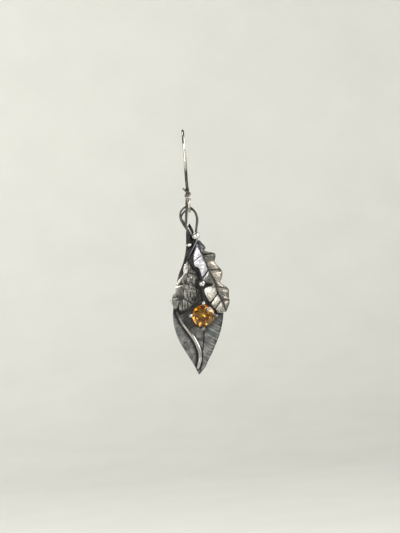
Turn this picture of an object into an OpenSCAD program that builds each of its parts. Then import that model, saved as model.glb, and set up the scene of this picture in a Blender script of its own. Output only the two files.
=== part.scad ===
// Leaf drop earring: a fish-hook ear wire, a soldered drop of three leaves, and a round stone in four prongs.
// Millimetres. The origin is the underside of the wire at the top of the hook's bend, which carries the
// earring. The front faces -Y, +X is to the right, and the drop hangs down along -Z.

/* [Ear hook] */
// Thickness of the ear wire
wire_d = 0.64; // [0.62:0.02:0.68]
// Radius of the hook's bend, to the middle of the wire
bend_r = 4; // [3.6:0.1:5]
// Depth of the tail's free end below the bend
tail_depth = 20.6; // [16:0.2:24]
// Depth at which the tail turns aside
tail_turn_depth = 12.4; // [11:0.2:14]
// Sideways lean of the tail below that, in degrees
tail_lean = 7; // [3:0.5:9]
// Thickness of the turned end, which is filed down a little
tail_end_d = 0.6; // [0.5:0.02:0.6]
// Depth of the coil's top below the bend
coil_top = 12.6; // [10:0.2:13]
// Thickness of the wire in the coil
coil_wire_d = 0.6; // [0.5:0.02:0.6]
// Height of one turn of the coil
coil_pitch = 1.5; // [1.3:0.05:1.6]
// Number of turns in the coil
coil_turns = 2; // [1:1:2]
// Slant of the turns, in degrees
coil_slant = 50; // [40:1:55]
// Depth of the middle of the eye's foot, which the bail rides on
pivot_depth = 17.95; // [17.6:0.05:18.3]
// Half the width of the eye, to the middle of the wire
eye_half = 1.05; // [1:0.05:1.3]

/* [Drop] */
// Sideways place of the drop's own axis, which sets its balance
drop_x = 0.05; // [0:0.05:0.3]
// Thickness of the bail's wire
bail_wire_d = 0.42; // [0.4:0.02:0.46]
// Thickness of the back leaf
back_sheet = 0.5; // [0.4:0.05:0.7]
// Number of side veins on each half of the back leaf
vein_pairs = 20; // [12:1:24]
// Height of the raised side veins on the back leaf
vein_relief = 0.09; // [0.05:0.01:0.12]
// Thickness of the two lobed leaves
lobed_sheet = 0.35; // [0.3:0.05:0.45]
// Depth of the cut veins on the lobed leaves
vein_cut = 0.18; // [0.1:0.01:0.22]
// Fullness of the lobes between their veins
lobe_dome = 0.3; // [0.1:0.05:0.4]
// Thickness of the tendril at its full stretch
tendril_d = 0.86; // [0.6:0.02:0.9]
// Thickness of the left leaf's stem
stem_d = 0.36; // [0.3:0.02:0.45]

/* [Setting and stone] */
// Width of the round stone
stone_d = 5; // [4.5:0.1:5.2]
// Width of the stone's table, as a share of the stone
table_share = 0.56; // [0.5:0.01:0.62]
// Thickness of the prongs
prong_d = 0.7; // [0.6:0.02:0.8]
// Turn of the four prongs about the stone, in degrees
prong_turn = -5; // [-12:1:12]
// Gap between the stone and its metal
seat_gap = 0.06; // [0.04:0.01:0.1]

/* [Hidden] */

wire_r = wire_d / 2;
bend_z = wire_r - bend_r;
leg_y = -bend_r;
tip_h = 0.16;
tip_share = 0.55;
tail_lap = 0.1;

// The coil is pressed a little into the leg, and the eye opens just under it, at a round hundredth
coil_press = 0.04;
coil_r = wire_r + coil_wire_d / 2 - coil_press;
coil_first = round(100 * (coil_top + coil_wire_d / 2 + coil_r * sin(coil_slant))) / 100;
cut_end_at = [-0.15, leg_y - 0.15, -coil_top - coil_wire_d / 2];
cut_end_l = 1;
cut_end_rise = 4;
eye_top_z = -(coil_first + (coil_turns - 1) * coil_pitch + 0.1);
leg_end_z = eye_top_z + 0.1;
foot_r = 0.55;

// Depths in the drop's own frame, whose y = 0 is the plane of the bail
back_face_y = 0.4;
back_groove = 0.12;
back_dome = 0.35;
left_leaf_y = 0.28;
left_turn_up = 0.6;
right_leaf_y = -0.8;
right_fold = 0.9;
right_fall = 0.35;
base_dip_z = -27;
base_dip_h = 2.3;
base_dip = 0.8;
base_dip_less = 0.4;

// Shares of the way from midrib to edge at which the sheets have a column
back_columns = [0, 0.07, 0.4, 0.75, 1];
lobed_columns = [0, 0.09, 0.35, 0.7, 1];
lobed_steps = 3;

// A cut vein's share of its depth at the leaf's edge, and how far it takes the dome away
cut_at_edge = 0.4;
cut_flattens = 0.5;

// Back leaf, a row for each slanting line: midrib x, z, left edge x, z, right edge x, z
back_rows = [
    [-0.35, -20.6, -0.48, -20.75, -0.22, -20.75],
    [-0.35, -21.6, -1.2, -22.2, 0.4, -22.2],
    [-0.25, -23.4, -1.42, -24.2, 0.75, -24.2],
    [0, -25.4, -1.65, -26.4, 1.4, -26.4],
    [0.3, -27.8, -2.5, -29.2, 2.4, -29.3],
    [0.6, -30.2, -3.75, -31.8, 3.2, -31.9],
    [0.85, -33, -4.6, -34.7, 4.2, -34.8],
    [1, -36, -5.35, -37.9, 5, -38],
    [1.1, -39, -5.8, -41, 5.45, -41],
    [1.05, -42, -5.6, -43.7, 4.95, -43.6],
    [0.82, -44.8, -4.95, -46.2, 4.1, -46],
    [0.5, -47.2, -3.95, -48.4, 3.05, -48.1],
    [0.12, -49.2, -3, -50.2, 2.15, -49.8],
    [-0.2, -51, -2.15, -51.8, 1.25, -51.2],
    [-0.6, -52.7, -1.6, -53.1, 0.35, -52.8],
    [-1.1, -54.3, -1.2, -54.2, -1, -54.15]
];

// Lobed leaves, a row for each vein or lobe:
// midrib x, z, left edge x, z, right edge x, z, left cut, right cut
right_rows = [
    [0.95, -24.7, 0.78, -24.95, 1.5, -24.45, 0, 0],
    [1.15, -25.7, 0.3, -26.5, 2.75, -26.15, 0, 0],
    [1.5, -26.8, -0.05, -27.6, 2.5, -26.95, 0, 0],
    [1.9, -27.8, -0.15, -29.2, 4.6, -27.65, 1, 1],
    [2.2, -28.8, 0.1, -30.2, 4.8, -28.5, 0, 0],
    [2.6, -29.9, 0.95, -30.85, 4.55, -29.6, 0, 0],
    [3, -31.2, 1.45, -33.1, 5.85, -31.5, 1, 1],
    [3.5, -32.3, 1.85, -33.9, 6, -32.3, 0, 0],
    [4, -33.4, 2.6, -34.2, 5.75, -33.3, 0, 0],
    [4.35, -34.4, 3.4, -34.6, 5.4, -34.3, 0, 0],
    [4.35, -35.1, 1.95, -35.1, 7, -35.7, 0, 1],
    [4.4, -35.8, 1.65, -36.2, 7.05, -36.7, 0, 0],
    [4.6, -36.6, 2.75, -38.7, 7, -37.4, 1, 0],
    [4.95, -37.4, 3.1, -39.4, 6.95, -37.9, 0, 0],
    [5.3, -38.1, 3.6, -40.15, 7.1, -38.3, 1, 1],
    [5.6, -39, 4.2, -40.8, 6.95, -39.1, 0, 0],
    [5.85, -39.9, 5.1, -41, 6.6, -39.9, 0, 0],
    [6.15, -40.75, 6.05, -40.8, 6.25, -40.65, 0, 0]
];
left_rows = [
    [-1.4, -28.75, -1.55, -28.85, -1.25, -28.85, 0, 0],
    [-1.4, -29.6, -2.4, -30, -0.4, -30.2, 0, 0],
    [-1.5, -30.6, -2.6, -31.2, 0.3, -31.5, 1, 0],
    [-1.65, -31.5, -2.65, -31.8, 0.85, -32.4, 0, 1],
    [-1.85, -32.4, -3.9, -33, 1.05, -33.4, 0, 0],
    [-2.3, -33.8, -4.55, -34.15, 0.65, -35, 1, 1],
    [-2.7, -34.8, -4.8, -35.3, 0.2, -36.2, 0, 0],
    [-3.05, -35.7, -5.4, -36.1, -0.3, -37.3, 0, 0],
    [-3.55, -36.7, -5.7, -36.85, -1.1, -38.6, 1, 1],
    [-3.9, -37.5, -6.2, -37.4, -1.8, -39.4, 0, 0],
    [-4.2, -38.4, -5.6, -38.6, -2.7, -40, 0, 0],
    [-4.45, -39.2, -5.35, -39.3, -3.7, -40.2, 0, 0],
    [-4.75, -39.95, -4.9, -39.85, -4.6, -40.05, 0, 0]
];

// Wires, a row for each point of the middle line: x, y, z, share of the full thickness
bail_front_rows = [
    [0.3, -0.2, -23.8, 1],
    [-0.15, -0.2, -23.4, 1],
    [-0.6, -0.2, -22.6, 1],
    [-1.25, -0.2, -21.5, 1],
    [-1.8, -0.2, -20.5, 1],
    [-2.15, -0.2, -19.6, 1],
    [-2.22, -0.2, -18.7, 1],
    [-2, -0.2, -17.85, 1],
    [-1.45, -0.2, -17.25, 1],
    [-0.8, -0.2, -16.9, 1],
    [-0.1, -0.2, -16.95, 1],
    [0.5, -0.2, -17.35, 1],
    [1.05, -0.2, -18, 1],
    [1.4, -0.2, -18.8, 1],
    [1.53, -0.2, -19.75, 1],
    [1.38, -0.2, -20.8, 1],
    [1.12, -0.2, -21.9, 1],
    [0.9, -0.2, -23.2, 1]
];
bail_rear_rows = [
    [0.45, 0.27, -23.6, 1],
    [0.15, 0.27, -23.3, 1],
    [-0.2, 0.27, -22.7, 1],
    [-0.72, 0.27, -21.7, 1],
    [-1.25, 0.27, -20.7, 1],
    [-1.75, 0.27, -19.9, 1],
    [-2.05, 0.27, -19.2, 1],
    [-1.7, 0.27, -18.4, 1],
    [-0.8, 0.27, -17.6, 1],
    [-0.1, 0.27, -17.33, 1],
    [0.7, 0.27, -17.6, 1],
    [1.2, 0.27, -18.2, 1],
    [1.45, 0.27, -19, 1],
    [1.52, 0.27, -19.8, 1],
    [1.3, 0.27, -21.2, 1],
    [0.95, 0.27, -22.6, 1]
];
tendril_rows = [
    [-4.85, 0.15, -40, 0.5],
    [-4.6, 0.1, -40.8, 0.58],
    [-3.95, 0.02, -42.2, 0.74],
    [-3.07, -0.02, -43.7, 0.86],
    [-2.22, -0.02, -45, 0.92],
    [-1.43, -0.02, -46.4, 0.96],
    [-0.84, -0.02, -47.9, 1],
    [-0.52, 0, -49.3, 1],
    [-0.54, 0, -50.6, 0.98],
    [-0.88, 0, -51.8, 0.9],
    [-1.3, 0.05, -52.85, 0.62]
];
stem_rows = [
    [1.1, -0.3, -24.5, 1],
    [0, -0.28, -26.2, 1],
    [-1.45, 0, -28.5, 1],
    [-1.5, 0.25, -29.1, 1]
];

// Granules: x, y, z, diameter
granules = [
    [0.84, -0.15, -23.5, 1.8],
    [-0.72, 0, -25.35, 1.05],
    [-1.4, 0.2, -25.35, 0.62],
    [1.25, -0.75, -34.15, 1.5]
];

// The stone stands on its point over the back leaf, with its table to the front
stone_at = [1, -41.25];
pavilion_h = stone_d * 0.42;
crown_h = stone_d * 0.16;
girdle_h = 0.12;
crown_bend_d = stone_d * 0.8;
crown_bend_h = crown_h * 0.62;
facet_plane_h = 0.01;
culet_d = 0.1;
culet_y = 0.05;
girdle_y = culet_y - pavilion_h;
gallery_r = stone_d * 0.42;
gallery_d = 0.6;
gallery_y = 0.1;

// Middle line of a prong, from the ring under the stone to its head over the edge: distance out, depth
prong_r = stone_d / 2 + prong_d / 2 + seat_gap;
prong_line = [
    [gallery_r, gallery_y],
    [prong_r, girdle_y + 0.2],
    [prong_r, girdle_y - girdle_h - 0.2],
    [prong_r - 0.3, girdle_y - girdle_h - 0.62]
];

function unit(v) = v / norm(v);

// Row of a table at any place u between its rows, on a smooth curve through them
function row_at(rows, u) =
    let (last = len(rows) - 1)
    let (i = min(floor(u), last - 1))
    let (f = u - i)
    let (before = rows[max(i - 1, 0)])
    let (from = rows[i])
    let (to = rows[i + 1])
    let (after = rows[min(i + 2, last)])
    from + 0.5 * f * (to - before + f * (2 * before - 5 * from + 4 * to - after
        + f * (3 * from - before - 3 * to + after)));

// Stands the drop's pieces in the plane of the bail, under the eye of the hook
module on_drop() {
    translate([drop_x, leg_y, 0])
        children();
}

// Arc of the ear wire in the side plane, from one polar angle through a sweep
module wire_arc(y, z, radius, from, sweep) {
    translate([0, y, z])
        rotate([90, 0, 90])
            rotate([0, 0, from])
                rotate_extrude(angle = sweep, $fn = 96)
                    translate([radius, 0])
                        circle(d = wire_d, $fn = 32);
}

// Upright length of the ear wire between two heights
module wire_post(y, z_low, z_high) {
    translate([0, y, z_low])
        cylinder(d = wire_d, h = z_high - z_low, $fn = 48);
}

// Rear half of the hook: it hangs straight down behind the leg, and its lower end is turned aside.
// The turned end starts just inside the straight wire and comes out through the middle of its end face.
module hook_tail() {
    turned_l = tail_depth - tail_turn_depth;
    wire_arc(0, bend_z, bend_r, 0, 90);
    wire_post(bend_r, -tail_turn_depth, bend_z);
    translate([0, bend_r, -tail_turn_depth])
        rotate([0, tail_lean, 0]) {
            translate([0, 0, tip_h - turned_l])
                cylinder(d = tail_end_d, h = turned_l - tip_h + tail_lap, $fn = 48);
            translate([0, 0, -turned_l])
                cylinder(d1 = tail_end_d * tip_share, d2 = tail_end_d, h = tip_h, $fn = 48);
        }
}

// Eye at the foot of the leg: a half round top, two strands and a flat foot that carries the bail
module hook_eye() {
    arch_z = eye_top_z - eye_half;
    foot_z = -pivot_depth;
    foot_half = eye_half - foot_r;
    wire_arc(leg_y, arch_z, eye_half, 0, 180);
    for (side = [-1, 1])
        wire_post(leg_y + side * eye_half, foot_z + foot_r, arch_z);
    wire_arc(leg_y - foot_half, foot_z + foot_r, foot_r, 180, 90);
    wire_arc(leg_y + foot_half, foot_z + foot_r, foot_r, 270, 90);
    translate([0, leg_y - foot_half, foot_z])
        rotate([-90, 0, 0])
            cylinder(d = wire_d, h = 2 * foot_half, $fn = 48);
}

// Slanting turns of the wrapped end, and its cut end standing off at the top left
module hook_coil() {
    for (turn = [0 : coil_turns - 1])
        translate([0, leg_y, -coil_first - turn * coil_pitch])
            rotate([0, coil_slant, 0])
                rotate_extrude($fn = 64)
                    translate([coil_r, 0])
                        circle(d = coil_wire_d, $fn = 32);
    translate(cut_end_at)
        rotate([0, -90 + cut_end_rise, 0])
            cylinder(d = coil_wire_d, h = cut_end_l, $fn = 48);
}

module ear_hook() {
    color("lightgray") {
        wire_arc(0, bend_z, bend_r, 90, 90);
        wire_post(leg_y, leg_end_z, bend_z);
        hook_tail();
        hook_eye();
        hook_coil();
    }
}

// Closed sheet over rows of slanting lines. Columns run from the left edge over the midrib to the right edge,
// and front_y and back_y give the two faces' depth at a row, a side and a share t of the way from the midrib.
module leaf_sheet(rows, stations, columns, front_y, back_y) {
    n = len(stations);
    line = concat([for (i = [len(columns) - 1 : -1 : 1]) [2, columns[i]]], [for (t = columns) [4, t]]);
    m = len(line);
    function at(row, side, t, y) = [
        row[0] * (1 - t) + row[side] * t,
        y,
        row[1] * (1 - t) + row[side + 1] * t
    ];
    table = [for (s = stations) row_at(rows, s)];
    front = [for (i = [0 : n - 1]) for (c = line) at(table[i], c[0], c[1], front_y(table[i], c[0], c[1], i))];
    back = [for (i = [0 : n - 1]) for (c = line) at(table[i], c[0], c[1], back_y(table[i], c[0], c[1], i))];
    k = n * m;
    faces = concat(
        [for (i = [0 : n - 2]) for (j = [0 : m - 2]) each [
            [i * m + j, i * m + j + 1, (i + 1) * m + j + 1],
            [i * m + j, (i + 1) * m + j + 1, (i + 1) * m + j],
            [k + i * m + j, k + (i + 1) * m + j + 1, k + i * m + j + 1],
            [k + i * m + j, k + (i + 1) * m + j, k + (i + 1) * m + j + 1]
        ]],
        [for (i = [0 : n - 2]) each [
            [i * m, (i + 1) * m, k + (i + 1) * m],
            [i * m, k + (i + 1) * m, k + i * m],
            [i * m + m - 1, k + (i + 1) * m + m - 1, (i + 1) * m + m - 1],
            [i * m + m - 1, k + i * m + m - 1, k + (i + 1) * m + m - 1]
        ]],
        [for (j = [0 : m - 2]) each [
            [j, k + j, k + j + 1],
            [j, k + j + 1, j + 1],
            [k - m + j, k + k - m + j + 1, k + k - m + j],
            [k - m + j, k - m + j + 1, k + k - m + j + 1]
        ]]
    );
    polyhedron(points = concat(front, back), faces = faces, convexity = 6);
}

// Wire along the smooth middle line of a table, with a ring of sides at each step
module leaf_wire(rows, diameter, steps, sides) {
    last = len(rows) - 1;
    line = [for (i = [0 : steps]) row_at(rows, last * i / steps)];
    function spot(i) = [line[i][0], line[i][1], line[i][2]];
    rings = [for (i = [0 : steps])
        let (along = unit(spot(min(i + 1, steps)) - spot(max(i - 1, 0))))
        let (across = unit(cross(along, [0, 1, 0])))
        let (out = cross(across, along))
        let (r = line[i][3] * diameter / 2)
        for (a = [0 : sides - 1])
            spot(i) + r * (cos(a * 360 / sides) * across + sin(a * 360 / sides) * out)];
    faces = concat(
        [for (i = [0 : steps - 1]) for (a = [0 : sides - 1])
            let (b = (a + 1) % sides)
            each [
                [i * sides + a, i * sides + b, (i + 1) * sides + b],
                [i * sides + a, (i + 1) * sides + b, (i + 1) * sides + a]
            ]],
        [[for (a = [sides - 1 : -1 : 0]) a]],
        [[for (a = [0 : sides - 1]) steps * sides + a]]
    );
    polyhedron(points = rings, faces = faces, convexity = 6);
}

// Long pointed leaf behind the others, keeled along its midrib, with fine raised side veins
module back_leaf() {
    last = len(back_rows) - 1;
    steps = vein_pairs * 3;
    color("dimgray")
        leaf_sheet(
            back_rows,
            [for (i = [0 : steps]) last * i / steps],
            back_columns,
            function (row, side, t, i) back_face_y + (t == 0 ? back_groove : -back_dome * t * (1 - t))
                - (i % 3 == 1 && t > 0 && t < 1 ? vein_relief : 0),
            function (row, side, t, i) back_face_y + back_sheet - back_dome * t * (1 - t)
        );
}

// Rise of a lobed leaf between its midrib and its edge
function lobe_rise(t) = -lobe_dome * 4 * t * (1 - t);

// How far a lobed leaf's front stands at a point: domed lobes, cut veins and a cut midrib
function lobed_front(row, side, t) =
    let (cut = pow(max(row[side == 2 ? 6 : 7], 0), 3))
    (t == 0 ? vein_cut : 0) + vein_cut * cut * (t < 1 ? 1 : cut_at_edge)
        + lobe_rise(t) * (1 - cut_flattens * cut);

// A lobed leaf over its rows. lie gives its depth before the relief, and hollow is the share of the dome
// that the back follows, 1 for thin sheet
module lobed_leaf(rows, lie, hollow) {
    last = len(rows) - 1;
    leaf_sheet(
        rows,
        [for (i = [0 : last * lobed_steps]) i / lobed_steps],
        lobed_columns,
        function (row, side, t, i) lie(row, side, t) + lobed_front(row, side, t),
        function (row, side, t, i) lie(row, side, t) + lobed_sheet + hollow * lobe_rise(t)
    );
}

// Bright leaf on the right, folded along its midrib, with its base and right edge bent back to the sheet
module right_leaf() {
    color("silver")
        lobed_leaf(right_rows, function (row, side, t)
            right_leaf_y + (side == 4 ? right_fold : right_fall) * t
            + base_dip * pow(max(0, (row[1] - base_dip_z) / base_dip_h), 2) * (1 - base_dip_less * t),
            hollow = 0.9);
}

// Dark leaf on the left, lying on the back leaf with its left lobes turned up
module left_leaf() {
    color("gray")
        lobed_leaf(left_rows, function (row, side, t) left_leaf_y
            - (side == 2 ? left_turn_up * t * t : 0), hollow = 0);
}

module left_stem() {
    color("silver")
        leaf_wire(stem_rows, stem_d, steps = 8, sides = 8);
}

module tendril() {
    color("lightgray")
        leaf_wire(tendril_rows, tendril_d, steps = 26, sides = 10);
}

// Two turns of wire a hair apart, the front one the wider at the left
module bail() {
    color("dimgray") {
        leaf_wire(bail_front_rows, bail_wire_d, steps = 34, sides = 8);
        leaf_wire(bail_rear_rows, bail_wire_d, steps = 30, sides = 8);
    }
}

module leaf_granules() {
    color("whitesmoke")
        for (ball = granules)
            translate([ball[0], ball[1], ball[2]])
                sphere(d = ball[3], $fn = 16);
}

// Turns its children so that +Z of theirs faces the front, about the stone's own axis
module on_stone_axis() {
    translate([stone_at[0], 0, stone_at[1]])
        rotate([90, 0, 0])
            children();
}

// Four prongs on a ring under the stone, each bent in over the stone's edge
module setting() {
    color("silver")
        on_stone_axis() {
            translate([0, 0, -gallery_y])
                rotate_extrude($fn = 24)
                    translate([gallery_r, 0])
                        circle(d = gallery_d, $fn = 8);
            for (quarter = [0 : 3])
                rotate([0, 0, prong_turn + quarter * 90])
                    for (i = [0 : len(prong_line) - 2])
                        hull()
                            for (spot = [prong_line[i], prong_line[i + 1]])
                                translate([spot[0], 0, -spot[1]])
                                    sphere(d = prong_d, $fn = 12);
        }
}

// All the soldered metal of the drop, one solid
module leaf_drop() {
    on_drop() {
        back_leaf();
        left_leaf();
        right_leaf();
        left_stem();
        tendril();
        bail();
        leaf_granules();
        setting();
    }
}

// Round stone: an eight-sided table, a crown down to the sixteen-sided girdle, and a pointed pavilion
module stone() {
    on_drop()
        color("darkorange")
            on_stone_axis()
                hull() {
                    translate([0, 0, -girdle_y + girdle_h])
                        cylinder(d1 = stone_d, d2 = crown_bend_d, h = crown_bend_h, $fn = 16);
                    translate([0, 0, -girdle_y])
                        cylinder(d = stone_d, h = girdle_h, $fn = 16);
                    translate([0, 0, -girdle_y + girdle_h + crown_h - facet_plane_h])
                        cylinder(d = stone_d * table_share, h = facet_plane_h, $fn = 8);
                    translate([0, 0, -culet_y])
                        cylinder(d = culet_d, h = facet_plane_h, $fn = 8);
                }
}

ear_hook();
leaf_drop();
stone();
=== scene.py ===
import math

import bmesh
import bpy
from mathutils import Matrix, Vector, noise
from mathutils.bvhtree import BVHTree


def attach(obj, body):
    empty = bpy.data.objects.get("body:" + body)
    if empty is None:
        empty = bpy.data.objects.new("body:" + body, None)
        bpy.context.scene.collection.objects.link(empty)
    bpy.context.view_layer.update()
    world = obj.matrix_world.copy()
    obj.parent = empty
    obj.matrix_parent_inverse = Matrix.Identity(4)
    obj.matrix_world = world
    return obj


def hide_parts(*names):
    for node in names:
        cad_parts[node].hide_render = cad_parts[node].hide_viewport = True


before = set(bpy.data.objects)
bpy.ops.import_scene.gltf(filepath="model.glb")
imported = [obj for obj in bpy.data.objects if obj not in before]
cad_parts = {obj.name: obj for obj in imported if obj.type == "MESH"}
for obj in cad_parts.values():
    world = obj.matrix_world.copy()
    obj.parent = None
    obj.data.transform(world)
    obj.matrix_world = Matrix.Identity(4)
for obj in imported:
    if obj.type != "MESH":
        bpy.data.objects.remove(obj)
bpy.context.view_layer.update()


# Ear wire
# One length of round silver wire, bent by hand over a rod and looped at its foot for the bail. Its end
# is twisted steeply round the leg and snipped off. It is toned with the drop and rubbed on its loop.
# Its upper hook is painted pale, as a highlight, and the wire below it is painted dark, as shade.
MM = 0.001
WIRE_R = 0.31
BEND_R = 4
BEND_Z = -3.68
TAIL_TURN_Z = -12.4
TAIL_END_L = 8.2
TAIL_END_R = 0.3
TAIL_LEAN = 7
LEG_X = -0.12
LEG_Y = -BEND_R
TWIST_R = 0.45
TWIST_WIRE_R = 0.3
TWIST_LEG_R = 0.13
TWIST_PITCH = 1.35
TWIST_STEEP = 0.18
TWIST_LOW_Z = -14.95
TWIST_FROM = 50
TWIST_TO = 530
TWIST_STEP = 30

# Distances down the tail's turned end, then x and z up the tail, and x and z down the leg
TAIL_END_SPOTS = [7.6, 6, 4, 2, 0.5]
TAIL_SPOTS = [(LEG_X, TAIL_TURN_Z + 0.6), (LEG_X, -10), (-0.06, -8), (0, -5.5)]
LEG_SPOTS = [(-0.02, -5.5), (-0.07, -8), (LEG_X, -10), (LEG_X, -12)]

# From the twist into the loop at its foot, and up again in front: x, y, z
EYE_SPOTS = [
    (-0.1, -3.55, -15.5), (-0.03, -3.12, -15.8), (0, -2.95, -16.25), (0, -2.95, -16.8), (0, -2.96, -17.35),
    (0, -3.12, -17.78), (0, -3.55, -17.95), (0, -4, -17.96), (0, -4.45, -17.95), (0, -4.88, -17.78),
    (0, -5.04, -17.35), (0, -5.05, -16.8), (0, -5.02, -16.2), (0.03, -4.9, -15.75), (0.09, -4.66, -15.45),
]
CUT_END_SPOTS = [(-0.74, -4.24, -13), (-0.92, -4.46, -12.95)]

# Last two rings of a wire's softened end: share of its radius, and step out in radii
SOFT_END = [(0.92, 0.25), (0.66, 0.2)]

# Heights between which the wire goes from a painted highlight to painted shade, and its loop from toned to
# rubbed
WIRE_HIGHLIGHT_TO_SHADE_Z = (-6.5, -9.5)
LOOP_RUBBED_Z = (-13, -15.3)
WIRE_PALE = (0.54, 0.50, 0.44, 1)
WIRE_TONED = (0.05, 0.05, 0.04, 1)


def row_at(rows, u):
    """Row of a table at any place u between its rows, on a smooth curve through them."""
    last = len(rows) - 1
    i = min(int(u), last - 1)
    f = u - i
    near = (rows[max(i - 1, 0)], rows[i], rows[i + 1], rows[min(i + 2, last)])
    return [
        b + 0.5 * f * (c - a + f * (2 * a - 5 * b + 4 * c - d + f * (3 * b - a - 3 * c + d)))
        for a, b, c, d in zip(*near)
    ]


def swept_wire(rows, steps, sides):
    """Round wire along the smooth line of a table whose rows are x, y, z, radius, with softened ends."""
    line = [row_at(rows, (len(rows) - 1) * i / steps) for i in range(steps + 1)]
    spots = [Vector(row[:3]) for row in line]
    radii = [row[3] for row in line]
    first, last = (spots[1] - spots[0]).normalized(), (spots[-1] - spots[-2]).normalized()
    for share, out in SOFT_END:
        spots = [spots[0] - first * radii[0] * out] + spots + [spots[-1] + last * radii[-1] * out]
        radii = [radii[0] * share] + radii + [radii[-1] * share]
    bm = bmesh.new()
    side = first.orthogonal().normalized()
    place = None
    for i, spot in enumerate(spots):
        along = (spots[min(i + 1, len(spots) - 1)] - spots[max(i - 1, 0)]).normalized()
        side = (side - along * side.dot(along)).normalized()
        turn = Matrix((side, along.cross(side), along)).transposed().to_4x4()
        new_place = Matrix.Translation(spot) @ turn @ Matrix.Scale(radii[i], 4)
        if place is None:
            ring = bmesh.ops.create_circle(bm, segments=sides, radius=1, matrix=new_place)["verts"]
            edges = bm.edges[:]
            bmesh.ops.contextual_create(bm, geom=edges)
        else:
            grown = bmesh.ops.extrude_edge_only(bm, edges=edges)["geom"]
            edges = [part for part in grown if isinstance(part, bmesh.types.BMEdge)]
            ring = [part for part in grown if isinstance(part, bmesh.types.BMVert)]
            bmesh.ops.transform(bm, matrix=new_place @ place.inverted(), verts=ring)
        place = new_place
    bmesh.ops.contextual_create(bm, geom=edges)
    return bm


def roughened(bm, depth, grain):
    """Hand work: small uneven dents over the whole surface."""
    bm.normal_update()
    moves = [(vert, vert.normal * depth * noise.noise(vert.co * grain)) for vert in bm.verts]
    for vert, move in moves:
        vert.co += move


def as_piece(bm, name, material, crease=40):
    """The finished mesh, brought from millimetres to metres, with edges sharper than crease left sharp."""
    bmesh.ops.recalc_face_normals(bm, faces=bm.faces)
    bmesh.ops.scale(bm, vec=(MM, MM, MM), verts=bm.verts)
    for face in bm.faces:
        face.smooth = True
    for edge in bm.edges:
        edge.smooth = edge.calc_face_angle(math.pi) < math.radians(crease)
    mesh = bpy.data.meshes.new(name)
    bm.to_mesh(mesh)
    bm.free()
    mesh.materials.append(material)
    piece = bpy.data.objects.new(name, mesh)
    bpy.context.scene.collection.objects.link(piece)
    return piece


def add(tree, kind, sockets=None, **settings):
    """A shader node. A socket is given a value, or the other node's socket that feeds it."""
    made = tree.nodes.new(kind)
    for name, setting in settings.items():
        setattr(made, name, setting)
    for name, value in (sockets or {}).items():
        if isinstance(value, bpy.types.NodeSocket):
            tree.links.new(value, made.inputs[name])
        else:
            made.inputs[name].default_value = value
    return made


def maths(tree, operation, a, b=0.0, clamp=False):
    return add(tree, "ShaderNodeMath", {0: a, 1: b}, operation=operation, use_clamp=clamp).outputs[0]


def mixed(tree, share, a, b):
    """Colour b over colour a."""
    return add(tree, "ShaderNodeMix", {0: share, 6: a, 7: b}, data_type="RGBA").outputs[2]


def ramp(tree, value, low, high, to_low=0.0, to_high=1.0):
    """A value brought from one range to another and kept inside it."""
    sockets = {0: value, 1: low, 2: high, 3: to_low, 4: to_high}
    return add(tree, "ShaderNodeMapRange", sockets, clamp=True).outputs[0]


def cloudy(tree, place, scale, detail, roughness=0.5):
    """Noise between 0 and 1."""
    sockets = {"Vector": place, "Scale": scale, "Detail": detail, "Roughness": roughness}
    return add(tree, "ShaderNodeTexNoise", sockets).outputs[0]


def distance(tree, place, spot):
    return add(tree, "ShaderNodeVectorMath", {0: place, 1: spot}, operation="DISTANCE").outputs["Value"]


def millimetres(tree):
    """The place on the piece, in millimetres."""
    coords = add(tree, "ShaderNodeTexCoord")
    sockets = {0: coords.outputs["Object"], 1: (1 / MM, 1 / MM, 1 / MM)}
    return add(tree, "ShaderNodeVectorMath", sockets, operation="MULTIPLY").outputs[0]


def new_material(name):
    """A material under way, its node tree and its shader."""
    material = bpy.data.materials.new(name)
    material.use_nodes = True
    return material, material.node_tree, material.node_tree.nodes["Principled BSDF"]


def shared_effect(name, inputs, outputs):
    """A shader node group with inputs that have a default each, and outputs that are plain values."""
    group = bpy.data.node_groups.new(name, "ShaderNodeTree")
    for socket, value in inputs.items():
        kind = "NodeSocketVector" if isinstance(value, tuple) else "NodeSocketFloat"
        group.interface.new_socket(name=socket, in_out="INPUT", socket_type=kind).default_value = value
    for socket in outputs:
        group.interface.new_socket(name=socket, in_out="OUTPUT", socket_type="NodeSocketFloat")
    return group, add(group, "NodeGroupInput").outputs


def tarnish_effect():
    """Sulphur toning: dark in the low places, rubbed off the high ones, in uneven patches and grain."""
    inputs = {
        "Position": (0, 0, 0), "Relief": 0.5, "Depth": 0.5, "Patches": 0.5, "Grain": 0.3, "Fineness": 1.0}
    group, given = shared_effect("tarnish", inputs, ["Dark", "Cloud", "Speckle"])
    sockets = {0: given["Position"], "Scale": given["Fineness"]}
    where = add(group, "ShaderNodeVectorMath", sockets, operation="SCALE").outputs[0]
    cloud = ramp(group, cloudy(group, where, 0.75, 5, 0.62), 0.3, 0.7)
    speckle = ramp(group, cloudy(group, where, 3.4, 4, 0.7), 0.3, 0.7)
    low = maths(group, "SUBTRACT", 1.0, given["Relief"])
    by_depth = maths(group, "MULTIPLY", low, given["Depth"])
    by_patch = maths(group, "MULTIPLY", maths(group, "SUBTRACT", cloud, 0.5), given["Patches"])
    by_grain = maths(group, "MULTIPLY", maths(group, "SUBTRACT", speckle, 0.5), given["Grain"])
    dark = maths(group, "ADD", maths(group, "ADD", by_depth, by_patch), by_grain, clamp=True)
    add(group, "NodeGroupOutput", {"Dark": dark, "Cloud": cloud, "Speckle": speckle})
    return group


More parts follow.
